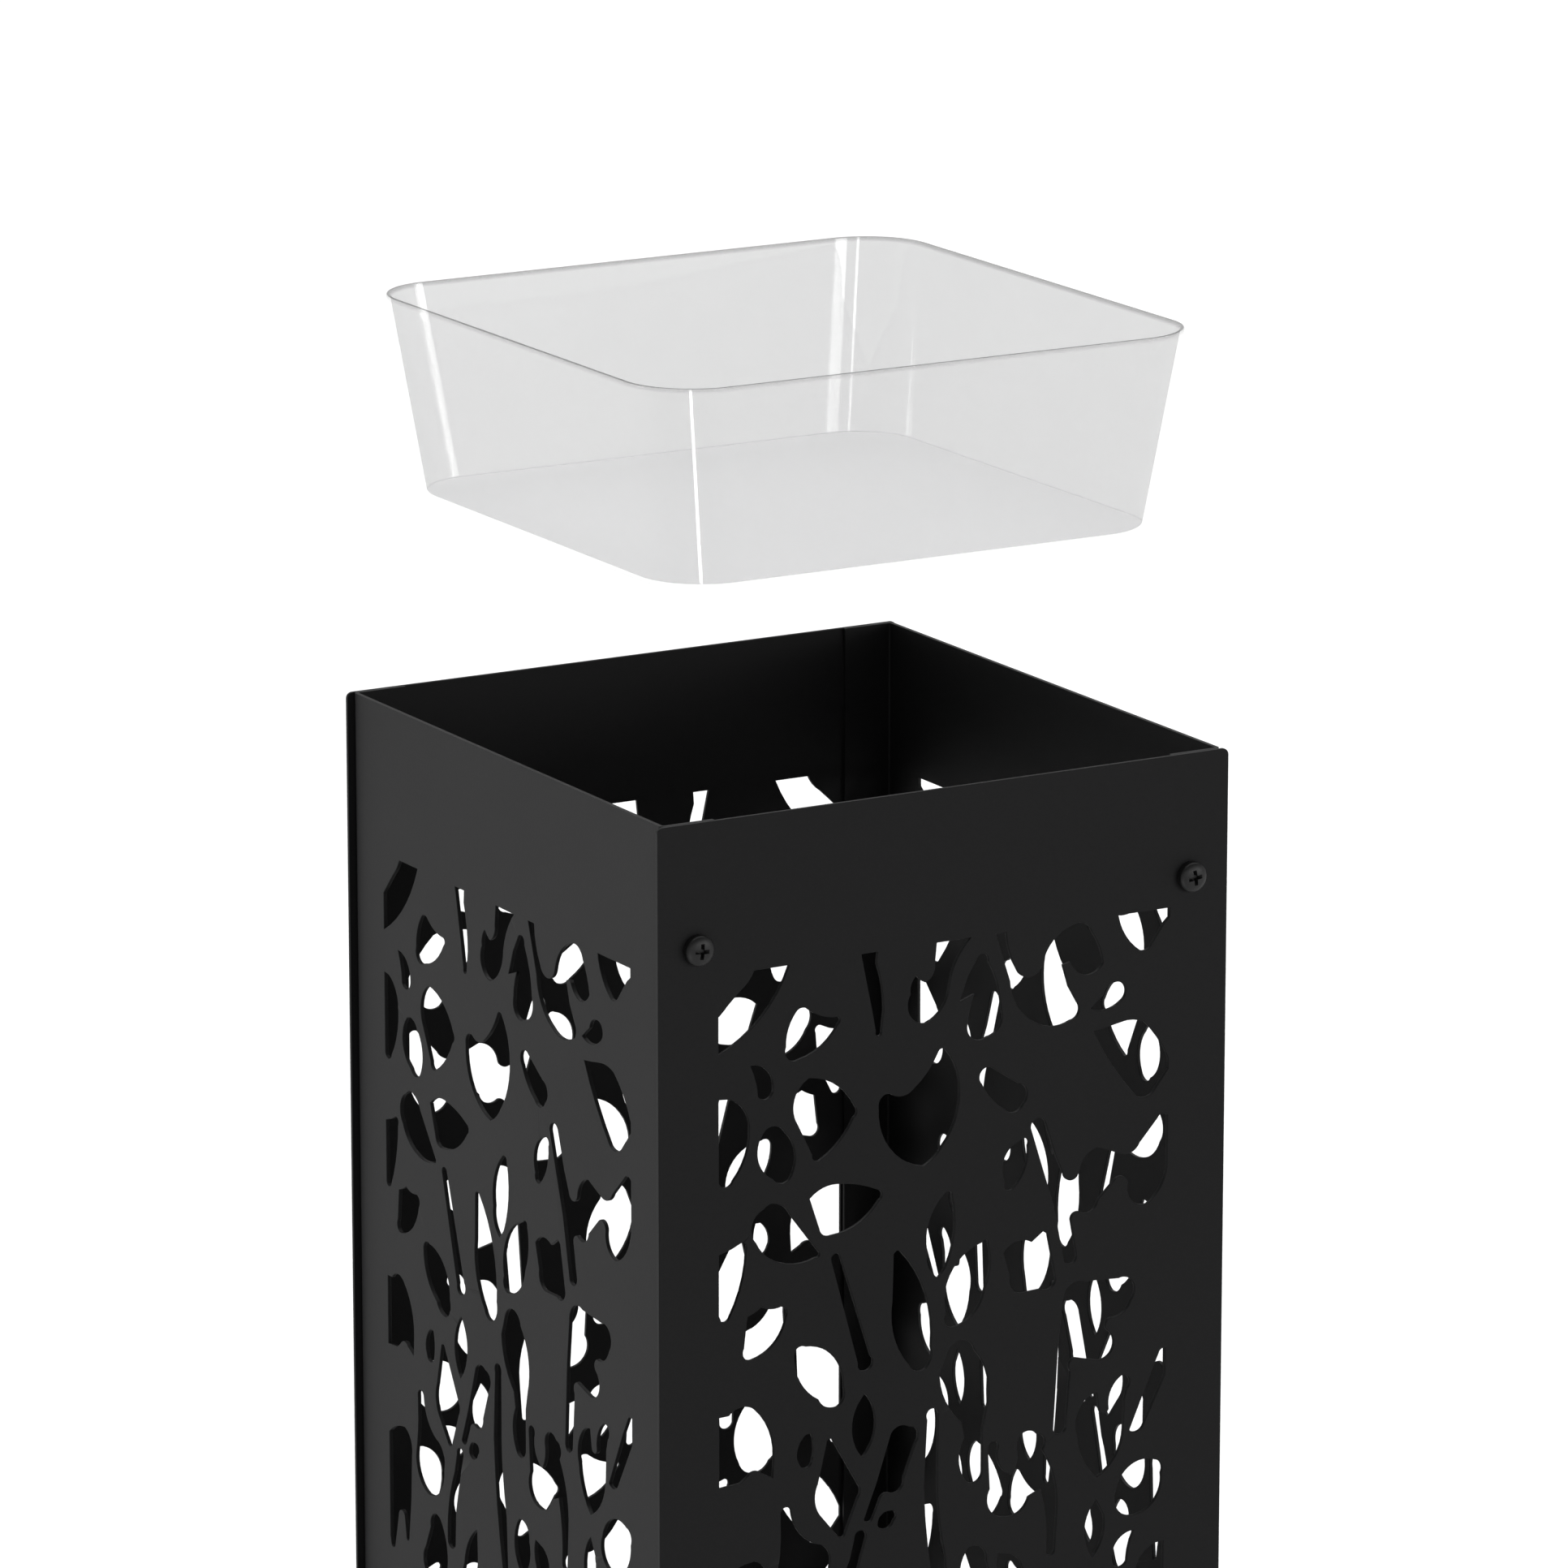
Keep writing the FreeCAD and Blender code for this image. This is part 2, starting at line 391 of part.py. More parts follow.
def channel_outline(half_width, flange, thickness, fold):
    """Plan of a side wall: a channel with rounded folds, open towards +Y."""
    inner = fold - thickness
    slack = (1 - math.cos(math.radians(45)))
    outer_pts = [Vector(-half_width, flange, 0), Vector(-half_width, fold, 0),
                 Vector(-half_width + fold * slack, fold * slack, 0), Vector(-half_width + fold, 0, 0)]
    inner_pts = [Vector(-half_width + thickness, flange, 0), Vector(-half_width + thickness, fold, 0),
                 Vector(-half_width + thickness + inner * slack, thickness + inner * slack, 0),
                 Vector(-half_width + fold, thickness, 0)]

    def mirrored(point):
        return Vector(-point.x, point.y, 0)
    left_fold = [Part.LineSegment(outer_pts[0], outer_pts[1]), Part.Arc(*outer_pts[1:])]
    right_fold = [Part.Arc(mirrored(outer_pts[3]), mirrored(outer_pts[2]), mirrored(outer_pts[1])),
                  Part.LineSegment(mirrored(outer_pts[1]), mirrored(outer_pts[0]))]
    inside_right = [Part.LineSegment(mirrored(inner_pts[0]), mirrored(inner_pts[1])),
                    Part.Arc(mirrored(inner_pts[1]), mirrored(inner_pts[2]), mirrored(inner_pts[3]))]
    inside_left = [Part.Arc(inner_pts[3], inner_pts[2], inner_pts[1]),
                   Part.LineSegment(inner_pts[1], inner_pts[0])]
    return (left_fold + [Part.LineSegment(outer_pts[3], mirrored(outer_pts[3]))] + right_fold
            + [Part.LineSegment(mirrored(outer_pts[0]), mirrored(inner_pts[0]))] + inside_right
            + [Part.LineSegment(mirrored(inner_pts[3]), inner_pts[3])] + inside_left
            + [Part.LineSegment(inner_pts[0], outer_pts[0])])


def make_channel(name, angle, side, front_is_plus_x):
    """Side wall: a folded channel whose flanges lie behind the plates; the front flange has the nut holes."""
    body = new_body(name)
    plan = new_sketch(body, "plan", "XY_Plane", height="Sizes.wall_lift * 1mm")
    half_width = size("bin_width") / 2 - size("sheet")
    plan.addGeometry(channel_outline(half_width, size("flange_width"), size("sheet"), size("fold_radius")))
    pad(body, plan, WALL_HEIGHT)
    flange_middle = "Sizes.screw_inset - Sizes.wall_inset"
    spigots = new_sketch(body, "nut_holes", "YZ_Plane")
    draw_circle(spigots, "Sizes.nut_spigot", flange_middle, UPPER_SCREW)
    draw_circle(spigots, "Sizes.clearance_hole", flange_middle, LOWER_SCREW)
    expect_less(body, pocket(body, spigots, reversed_side=front_is_plus_x), "nut holes")
    cut_pattern(body, size("art_offset"))
    stand_in_place(body, angle, x=side)


HALF_BIN = "Sizes.bin_width / 2"
make_plate("front_panel", 0, f"-{HALF_BIN}", screwed=True)
make_plate("back_panel", 180, HALF_BIN, screwed=False)
make_channel("left_panel", -90, f"-({HALF_BIN} - Sizes.wall_inset)", front_is_plus_x=True)
make_channel("right_panel", 90, f"{HALF_BIN} - Sizes.wall_inset", front_is_plus_x=False)


# ---------------------------------------------------------------- base pan and feet
def make_base_pan():
    """Shallow pan: a floor with four upturned edges and relieved corners; the front edge takes two nuts."""
    body = new_body("base_pan")
    across = "Sizes.bin_width - 2 * (Sizes.wall_inset + Sizes.sheet + Sizes.pan_gap)"
    along = "Sizes.bin_width - 4 * Sizes.sheet"
    block = new_sketch(body, "block", "XY_Plane", height="Sizes.foot_height * 1mm")
    draw_rectangle(block, across, along)
    pad(body, block, "Sizes.pan_height")
    document.recompute()
    lower_edges = body.newObject("PartDesign::Fillet", "base_pan_folds")
    floor_z = size("foot_height")
    names = edges_along(body.Shape, Vector(1, 0, 0), lambda point: abs(point.z - floor_z) < 0.01)
    names += edges_along(body.Shape, Vector(0, 1, 0), lambda point: abs(point.z - floor_z) < 0.01)
    lower_edges.Base = (document.getObject("base_pan_block_pad"), names)
    lower_edges.setExpression("Radius", "Sizes.fold_radius")
    hollow = new_sketch(body, "hollow", "XY_Plane", height="(Sizes.foot_height + Sizes.sheet) * 1mm")
    draw_rectangle(hollow, f"{across} - 2 * Sizes.sheet", f"{along} - 2 * Sizes.sheet")
    expect_less(body, pocket(body, hollow, reversed_side=True), "hollow")
    relief = new_sketch(body, "relief", "XY_Plane")
    half_across = f"(({across}) - Sizes.pan_relief) / 2"
    half_along = f"(({along}) - Sizes.pan_relief) / 2"
    reliefs(relief, half_across, half_along)
    expect_less(body, pocket(body, relief, reversed_side=True), "corner relief")
    holes = new_sketch(body, "nut_holes", "XZ_Plane")
    for position in (SCREW_ACROSS, f"-({SCREW_ACROSS})"):
        draw_circle(holes, "Sizes.nut_spigot", position, LOWER_SCREW)
    expect_less(body, pocket(body, holes, reversed_side=True), "nut holes")


def reliefs(sketch, half_across, half_along):
    """Four small squares at the pan's corners."""
    for sign_x in (1, -1):
        for sign_y in (1, -1):
            mid = [number(sketch, text) * sign for text, sign in
                   ((half_across, sign_x), (half_along, sign_y))]
            reach = size("pan_relief") / 2
            corners = [Vector(mid[0] + sx * reach, mid[1] + sy * reach, 0) for sx, sy in
                       ((-1, -1), (1, -1), (1, 1), (-1, 1))]
            for start, end in zip(corners, corners[1:] + corners[:1]):
                sketch.addGeometry(Part.LineSegment(start, end), False)


def make_foot(name, x, y):
    """Rubber foot: a short stud with a rounded lower edge, stuck under the base pan."""
    body = new_body(name)
    disc = new_sketch(body, "disc", "XY_Plane")
    centre = disc.addGeometry(Part.Circle(Vector(0, 0, 0), Vector(0, 0, 1), size("foot_top") / 2), False)
    disc.addConstraint(Sketcher.Constraint("Coincident", centre, 3, -1, 1))
    bind(disc, "Diameter", (centre,), "Sizes.foot_top")
    stud = pad(body, disc, "Sizes.foot_height")
    document.recompute()
    lower = [f"Edge{index}" for index, edge in enumerate(stud.Shape.Edges, start=1)
             if edge.BoundBox.ZMax < 0.01]
    rounding = body.newObject("PartDesign::Fillet", f"{name}_rounding")
    rounding.Base = (stud, lower)
    rounding.setExpression("Radius", "Sizes.foot_round")
    stand_in_place(body, 0, x=x, y=y)


make_base_pan()
for side, across in (("left", "-"), ("right", "")):
    for end, along in (("front", "-"), ("back", "")):
        make_foot(f"foot_{end}_{side}", f"{across}Sizes.foot_spacing / 2", f"{along}Sizes.foot_spacing / 2")


# ---------------------------------------------------------------- screws and nuts
def make_screw(name, shank, placement):
    """Pan head machine screw with a cross recess; its tip is at the body's origin, its head up."""
    body = new_body(name)
    length, head = size(shank), size("head_diameter") / 2
    crown, rim = size("head_height"), size("head_rim")
    shaft, lead = size("shank_diameter") / 2, 0.4
    profile = new_sketch(body, "profile", "XZ_Plane")
    points = [Vector(0, 0, 0), Vector(shaft - lead, 0, 0), Vector(shaft, lead, 0), Vector(shaft, length, 0),
              Vector(head, length, 0), Vector(head, length + rim, 0)]
    for start, end in zip(points, points[1:]):
        profile.addGeometry(Part.LineSegment(start, end), False)
    summit = Vector(0, length + crown, 0)
    shoulder = Vector(head * math.cos(math.radians(45)), length + rim + (crown - rim) * 0.62, 0)
    profile.addGeometry(Part.Arc(points[-1], shoulder, summit), False)
    profile.addGeometry(Part.LineSegment(summit, points[0]), False)
    turning = body.newObject("PartDesign::Revolution", f"{name}_turning")
    turning.Profile = profile
    turning.ReferenceAxis = (profile, ["V_Axis"])
    turning.Angle = 360
    document.recompute()
    above_dome = f"(Sizes.{shank} + Sizes.head_height + Sizes.recess_start) * 1mm"
    recess = new_sketch(body, "recess", "XY_Plane", height=above_dome)
    reach, half_slot = size("recess_width") / 2, size("recess_slot") / 2
    quarter = [(reach, -half_slot), (reach, half_slot), (half_slot, half_slot)]
    cross = []
    for turn in range(4):
        angle = math.radians(90 * turn)
        for x, y in quarter:
            cross.append(Vector(x * math.cos(angle) - y * math.sin(angle),
                                x * math.sin(angle) + y * math.cos(angle), 0))
    for start, end in zip(cross, cross[1:] + cross[:1]):
        recess.addGeometry(Part.LineSegment(start, end), False)
    expect_less(body, pocket(body, recess, "(Sizes.recess_depth + Sizes.recess_start) * 1mm"), "cross recess")
    body.Placement = placement


def make_nut(name, placement):
    """Clinch nut: a round body on a spigot pressed into the sheet.  Its origin is on the sheet's inner face."""
    ring = document.addObject("Part::Cylinder", f"{name}_body")
    ring.setExpression("Radius", "Sizes.nut_diameter / 2 * 1mm")
    ring.setExpression("Height", "Sizes.nut_body * 1mm")
    spigot = document.addObject("Part::Cylinder", f"{name}_spigot")
    spigot.setExpression("Radius", "Sizes.nut_spigot / 2 * 1mm")
    spigot.setExpression("Height", "Sizes.sheet * 1mm")
    spigot.setExpression("Placement.Base.z", "-Sizes.sheet * 1mm")
    blank = document.addObject("Part::Fuse", f"{name}_blank")
    blank.Base, blank.Tool = ring, spigot
    bore = document.addObject("Part::Cylinder", f"{name}_bore")
    bore.setExpression("Radius", "Sizes.nut_bore / 2 * 1mm")
    bore.setExpression("Height", "(Sizes.nut_body + Sizes.sheet) * 1mm")
    bore.setExpression("Placement.Base.z", "-Sizes.sheet * 1mm")
    nut = document.addObject("Part::Cut", name)
    nut.Base, nut.Tool = blank, bore
    nut.Label = name
    nut.Placement = placement


half_bin = size("bin_width") / 2
screw_across = half_bin - size("screw_inset")
SCREW_LEVELS = (("upper", 2, size("bin_top") - size("upper_screw_drop")),
                ("lower", 3, size("lower_screw_height")))
for side, across in (("left", -1), ("right", 1)):
    for level, layers, height in SCREW_LEVELS:
        shank = f"{level}_shank_length"
        outward = Rotation(Vector(0, 0, 1), Vector(0, -1, 0))
        inward = Rotation(Vector(0, 0, 1), Vector(0, 1, 0))
        tip = Vector(across * screw_across, size(shank) - half_bin, height)
        seat = Vector(across * screw_across, layers * size("sheet") - half_bin, height)
        make_screw(f"screw_{level}_{side}", shank, Placement(tip, outward))
        make_nut(f"clinch_nut_{level}_{side}", Placement(seat, inward))


# ---------------------------------------------------------------- tray
def rounded_square(width, corner, height):
    """A square with round corners, in a plane at the given height."""
    half, flat = width / 2, width / 2 - corner
    bend = flat + corner * math.cos(math.radians(45))
    edges = []
    for turn in range(4):
        spin = Rotation(Vector(0, 0, 1), 90 * turn)
        points = [Vector(half, -flat, height), Vector(half, flat, height), Vector(bend, bend, height),
                  Vector(flat, half, height)]
        points = [spin.multVec(point) for point in points]
        edges.append(Part.LineSegment(points[0], points[1]).toShape())
        edges.append(Part.Arc(*points[1:]).toShape())
    return Part.Wire(edges)


def make_tray():
    """Clear moulded tray with leaning walls: an outer block less an inner one, and a soft lower edge."""
    foot, rim = size("tray_foot"), size("tray_rim")
    height, corner = size("tray_height"), size("tray_corner")
    wall, floor = size("tray_wall"), size("tray_floor")
    lean = (rim - foot) / height
    outer = Part.makeLoft([rounded_square(foot, corner, 0), rounded_square(rim, corner, height)], True, True)
    inner_foot = foot + lean * floor - 2 * wall
    inner = Part.makeLoft([rounded_square(inner_foot, corner - wall, floor),
                           rounded_square(rim - 2 * wall, corner - wall, height)], True, True)
    lower = [edge for edge in outer.Edges if edge.BoundBox.ZMax < 0.01]
    outer = outer.makeFillet(floor * 0.75, lower)
    inner_lower = [edge for edge in inner.Edges if edge.BoundBox.ZMax < floor + 0.01]
    inner = inner.makeFillet(floor * 0.6, inner_lower)
    tray = document.addObject("Part::Feature", "tray")
    tray.Shape = outer.cut(inner)
    tray.Label = "tray"
    tray.Placement = Placement(Vector(0, 0, size("bin_top") + size("tray_hover")), Rotation())


make_tray()


# ---------------------------------------------------------------- check and write
document.recompute()
for item in document.Objects:
    assert not {"Invalid", "Error"} & set(item.State), f"{item.Label}: {item.State}"


def is_sub_part(item):
    return item.Label == item.Name and item.TypeId in ("PartDesign::Body", "Part::Cut", "Part::Feature")


sub_parts = [item for item in document.Objects if is_sub_part(item)]
for item in sub_parts:
    shape = item.Shape
    assert not shape.isNull() and shape.isValid(), f"{item.Label}: bad shape"
    assert len(shape.Solids) == 1, f"{item.Label}: {len(shape.Solids)} solids"
    shape.exportStep(f"parts/{item.Label}.step")
    box = shape.BoundBox
    print(f"{item.Label:32s} {shape.Volume / 1000:9.2f} cm3  z {box.ZMin:7.2f} to {box.ZMax:7.2f}")
print(len(sub_parts), "sub-parts")
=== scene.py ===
# %% [markdown]
# # A slim square bin of laser-cut sheet steel
#
# Four steel walls stand round a base pan on rubber feet, and a clear tray floats above the open mouth.
# The walls carry a cut pattern of leaves and stems, so most of the character is in thin dark sheet:
# its soft edges, its fine powder coat and what shows through the openings.
# The script opens the measured frame, replaces its pieces one after another with finished ones,
# paints them, and then sets up a small photo studio.

# %% Open the frame
import json
import math

import bmesh
import bpy
from mathutils import Matrix, Vector


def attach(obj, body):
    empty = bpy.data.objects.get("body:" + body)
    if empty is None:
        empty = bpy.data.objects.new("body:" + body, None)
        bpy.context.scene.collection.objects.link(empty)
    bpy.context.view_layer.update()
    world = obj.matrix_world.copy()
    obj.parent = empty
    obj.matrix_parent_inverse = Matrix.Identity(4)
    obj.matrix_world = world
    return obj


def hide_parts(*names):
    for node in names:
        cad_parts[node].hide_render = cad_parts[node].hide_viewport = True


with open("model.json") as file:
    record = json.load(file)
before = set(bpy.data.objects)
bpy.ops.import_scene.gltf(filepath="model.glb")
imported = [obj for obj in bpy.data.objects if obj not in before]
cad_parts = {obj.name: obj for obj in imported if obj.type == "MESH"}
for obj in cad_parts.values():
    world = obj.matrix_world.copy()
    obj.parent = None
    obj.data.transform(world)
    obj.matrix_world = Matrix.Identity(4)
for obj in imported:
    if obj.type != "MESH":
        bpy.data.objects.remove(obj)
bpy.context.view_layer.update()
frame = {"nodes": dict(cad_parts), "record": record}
MM = 0.001

# %% [markdown]
# ## Two helpers for new pieces
#
# Every finished piece ends in the same way: its edit mesh becomes an object at the world's origin, it
# rides on one body of the frame and it stands for one node. Faces are smooth, and a Weighted Normal
# modifier lets the large flat faces win, so a narrow rounded edge shades as round and the sheet as flat.

# %% Finish a piece
BODY_OF = {node: body for body, nodes in frame["record"]["behaviour"]["bodies"].items() for node in nodes}


def finish_piece(shape, node, paint):
    """Turn an edit mesh into the object that stands for a node of the frame."""
    bmesh.ops.recalc_face_normals(shape, faces=shape.faces)
    mesh = bpy.data.meshes.new(f"{node}_shape")
    shape.to_mesh(mesh)
    shape.free()
    mesh.shade_smooth()
    mesh.set_sharp_from_angle(angle=math.radians(50))
    mesh.materials.append(paint)
    piece = bpy.data.objects.new(f"{node}_finished", mesh)
    bpy.context.scene.collection.objects.link(piece)
    weighted = piece.modifiers.new("flat faces win", "WEIGHTED_NORMAL")
    weighted.keep_sharp = True
    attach(piece, BODY_OF[node])
    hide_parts(node)
    return piece


# %% [markdown]
# ## Shader sums as plain Python
#
# A material is a sum of small effects, and such sums read best as Python. `Wire` holds one output of a
# node and overloads the operators used below. `Paint` is a material in the making, and its one `node`
# method adds any other node from its type, its settings and what goes into its sockets.


# %% Wires and paints
class Wire:
    """One output socket. Arithmetic on it adds Math nodes."""

    def __init__(self, paint, socket):
        self.paint = paint
        self.socket = socket

    def sum_node(self, operation, first, second):
        return self.paint.node("ShaderNodeMath", {"operation": operation}, {0: first, 1: second})

    def __add__(self, other):
        return self.sum_node("ADD", self, other)

    def __mul__(self, other):
        return self.sum_node("MULTIPLY", self, other)

    def __rsub__(self, other):
        return self.sum_node("SUBTRACT", other, self)

    def __pow__(self, other):
        return self.sum_node("POWER", self, other)

    __radd__ = __add__
    __rmul__ = __mul__


class Paint:
    """A material with a Principled surface."""

    def __init__(self, name, **surface_values):
        self.material = bpy.data.materials.new(name)
        self.material.use_nodes = True
        self.tree = self.material.node_tree
        self.surface = self.tree.nodes["Principled BSDF"]
        for socket_name, value in surface_values.items():
            self.feed(self.surface.inputs[socket_name.replace("_", " ")], value)

    def feed(self, socket, value):
        if isinstance(value, Wire):
            self.tree.links.new(value.socket, socket)
        else:
            socket.default_value = value

    def node(self, kind, settings, inputs, output=0):
        made = self.tree.nodes.new(kind)
        for setting, value in settings.items():
            if setting == "stops":
                for stop, (position, shade) in zip(made.color_ramp.elements, value):
                    stop.position = position
                    stop.color = (shade, shade, shade, 1)
            else:
                setattr(made, setting, value)
        for socket, value in inputs.items():
            self.feed(made.inputs[socket], value)
        return Wire(self, made.outputs[output])

    def place(self):
        """Object coordinates, which are metres in the frame."""
        return self.node("ShaderNodeTexCoord", {}, {}, "Object")

    def noise(self, scale, detail):
        return self.node("ShaderNodeTexNoise", {}, {"Vector": self.place(), "Scale": scale, "Detail": detail})

    def ramp(self, value, low, high):
        """0 below low, 1 above high, straight between."""
        return self.node("ShaderNodeValToRGB", {"stops": [(low, 0), (high, 1)]}, {"Fac": value})

    def mix(self, amount, first, second):
        return self.node("ShaderNodeMix", {"data_type": "RGBA"}, {0: amount, 6: first, 7: second}, 2)

    def bump(self, height, distance, strength):
        return self.node("ShaderNodeBump", {}, {"Height": height, "Distance": distance, "Strength": strength})


print("paint helpers ready")

# %% [markdown]
# ## Powder coat
#
# The steel is dry black powder coat. Sprayed powder melts into a skin with a very fine orange peel, so
# the surface is satin, not glossy. Two noises make it: one with grains of about a third of a millimetre
# for the skin, and a slow one for faint differences in how matt the batch cured. A flat black would look
# like a hole, because all that the eye reads on black sheet is its sheen.


# %% Paint the powder coat
def make_powder_coat():
    paint = Paint("satin black powder coat")
    grain = paint.noise(2600, 3.0)
    cure = paint.noise(14, 2.0)
    paint.feed(paint.surface.inputs["Base Color"],
               paint.mix(grain, (0.0035, 0.0035, 0.0037, 1), (0.0064, 0.0064, 0.0066, 1)))
    paint.feed(paint.surface.inputs["Roughness"], 0.44 + grain * 0.08 + cure * 0.06)
    paint.feed(paint.surface.inputs["Normal"], paint.bump(grain, 0.03 * MM, 0.5))
    paint.surface.inputs["Specular IOR Level"].default_value = 0.115
    return paint.material


powder_coat = make_powder_coat()
print("made", powder_coat.name)

# %% [markdown]
# ## Walls and base pan
#
# A laser-cut and coated edge is never knife sharp: the powder rounds it to a tenth or two of a
# millimetre, and that sliver catches the light along the mouth and round every leaf. The frame's meshes
# have the exact outlines, so each copy is welded, its flat triangles are dissolved into large faces, and
# the edges between the faces and the cut walls are bevelled. Cutting the pattern with booleans would
# be slower and would leave worse faces.

# %% Soften the sheet
SHEET_EDGE = 0.16 * MM
WELD = 0.002 * MM
ALMOST_FLAT = math.radians(0.5)
SHARP = math.radians(40)
FACE_RATIO = 20


def soften_sheet(node):
    """Round the edges where a large flat face meets a narrow cut wall."""
    shape = bmesh.new()
    shape.from_mesh(frame["nodes"][node].data)
    bmesh.ops.remove_doubles(shape, verts=shape.verts, dist=WELD)
    bmesh.ops.dissolve_limit(shape, angle_limit=ALMOST_FLAT, use_dissolve_boundaries=False,
                             verts=shape.verts, edges=shape.edges, delimit=set())
    rims = []
    for edge in shape.edges:
        if not edge.is_manifold or edge.calc_face_angle() <= SHARP:
            continue
        areas = sorted(face.calc_area() for face in edge.link_faces)
        if areas[1] > FACE_RATIO * areas[0]:
            rims.append(edge)
    bmesh.ops.bevel(shape, geom=rims, offset=SHEET_EDGE, offset_type="OFFSET", affect="EDGES", segments=2,
                    profile=0.5, material=-1, clamp_overlap=False)
    piece = finish_piece(shape, node, powder_coat)
    print(node, len(rims), "edges rounded,", len(piece.data.polygons), "faces")


for sheet_node in ("front_panel", "back_panel", "left_panel", "right_panel", "base_pan"):
    soften_sheet(sheet_node)

# %% [markdown]
# ## Turned pieces
#
# Screws, nuts and feet are all turned shapes: a half profile spun once round an axis. The profile is
# given as (radius, height) points, and the spin is merged so that the last step joins the first.


# %% Spin a profile
def spin_profile(points, steps):
    shape = bmesh.new()
    corners = [shape.verts.new((radius, 0, height)) for radius, height in points]
    for start, end in zip(corners, corners[1:]):
        shape.edges.new((start, end))
    bmesh.ops.spin(shape, geom=shape.verts[:] + shape.edges[:], cent=(0, 0, 0), axis=(0, 0, 1),
                   dvec=(0, 0, 0), angle=2 * math.pi, steps=steps, use_merge=True, use_duplicate=False)
    bmesh.ops.remove_doubles(shape, verts=shape.verts, dist=1e-7)
    return shape


def arc_points(centre, radius, start, end, count):
    """Points on an arc of a profile; the angles are in degrees."""
    angles = [math.radians(start + (end - start) * step / (count - 1)) for step in range(count)]
    return [(centre[0] + radius * math.cos(a), centre[1] + radius * math.sin(a)) for a in angles]


print("a turned piece is a half profile spun round Z")

# %% [markdown]
# ## Pan head screws
#
# The screws are black M4 pan heads with a cross recess: an upright rim, a low dome and a tapering
# cross. The dome is spun. The cross is a small tapered plug cut away with a Boolean modifier's exact
# solver, which is the simplest way to get its four clean wings, and the modifier is applied at once.


# %% Paint the black screws
def make_screw_black():
    paint = Paint("blackened screw steel")
    grain = paint.noise(3500, 2.0)
    paint.feed(paint.surface.inputs["Base Color"],
               paint.mix(grain, (0.004, 0.004, 0.004, 1), (0.008, 0.008, 0.008, 1)))
    paint.feed(paint.surface.inputs["Roughness"], 0.34 + grain * 0.12)
    paint.feed(paint.surface.inputs["Normal"], paint.bump(grain, 0.01 * MM, 0.4))
    paint.surface.inputs["Specular IOR Level"].default_value = 0.26
    return paint.material


screw_black = make_screw_black()

# %% Make the screws
HEAD_RADIUS = 3.7
HEAD_RIM = 1.2
HEAD_TOP = 2.5
SHANK_RADIUS = 1.9
THREAD_DEPTH = 0.3
THREAD_PITCH = 0.7
THREAD_START = 0.4
TIP_CHAMFER = 0.5
CROSS_TOP = (4.7 * MM, 1.05 * MM, 2.0 * MM)
CROSS_TAPER = (0.45, 0.75, 1.0)
CROSS_SINK = 0.4


def dome_points(base):
    """The dome from its rim to the axis, as (radius, height) in millimetres."""
    rise = HEAD_TOP - HEAD_RIM
    sweep = [math.radians(90 * step / 10) for step in range(11)]
    return [(HEAD_RADIUS * math.cos(a) ** 0.85, base + HEAD_RIM + rise * math.sin(a)) for a in sweep]


def screw_profile(length):
    """Half outline from the tip to the top of the dome; the thread is drawn as stacked rings."""
    turns = int((length - 1) / THREAD_PITCH)
    points = [(0, 0), (SHANK_RADIUS - TIP_CHAMFER, 0)]
    for turn in range(turns):
        height = THREAD_START + turn * THREAD_PITCH
        points += [(SHANK_RADIUS - THREAD_DEPTH, height), (SHANK_RADIUS, height + THREAD_PITCH / 2)]
    points += [(SHANK_RADIUS - THREAD_DEPTH / 2, length), (HEAD_RADIUS - 0.1, length)]
    points += [(HEAD_RADIUS, length + 0.1)] + dome_points(length)
    return [(max(radius, 0) * MM, height * MM) for radius, height in points]


def cross_plug(length):
    """Tapered cross that is cut from the head."""
    shape = bmesh.new()
    for turn in (0, 90):
        wing = bmesh.ops.create_cube(shape, size=1.0)["verts"]
        bmesh.ops.scale(shape, vec=CROSS_TOP, verts=wing)
        lower = [vert for vert in wing if vert.co.z < 0]
        bmesh.ops.scale(shape, vec=CROSS_TAPER, verts=lower)
        quarter_turn = Matrix.Rotation(math.radians(turn), 3, "Z")
        bmesh.ops.rotate(shape, cent=(0, 0, 0), matrix=quarter_turn, verts=wing)
    bmesh.ops.translate(shape, vec=(0, 0, (length + HEAD_TOP - CROSS_SINK) * MM), verts=shape.verts)
    mesh = bpy.data.meshes.new("cross plug")
    shape.to_mesh(mesh)
    shape.free()
    return bpy.data.objects.new("cross plug", mesh)


def cut_screw(length):
    """The screw with its cross recess, standing on its tip at the origin."""
    shape = spin_profile(screw_profile(length), 40)
    bmesh.ops.recalc_face_normals(shape, faces=shape.faces)
    mesh = bpy.data.meshes.new("screw blank")
    shape.to_mesh(mesh)
    shape.free()
    blank = bpy.data.objects.new("screw blank", mesh)
    plug = cross_plug(length)
    for item in (blank, plug):
        bpy.context.scene.collection.objects.link(item)
    cut = blank.modifiers.new("recess", "BOOLEAN")
    cut.operation = "DIFFERENCE"
    cut.object = plug
    cut.solver = "EXACT"
    cut.use_self = True
    ready = bpy.data.meshes.new_from_object(blank.evaluated_get(bpy.context.evaluated_depsgraph_get()))
    for item in (blank, plug):
        bpy.data.objects.remove(item)
    return ready


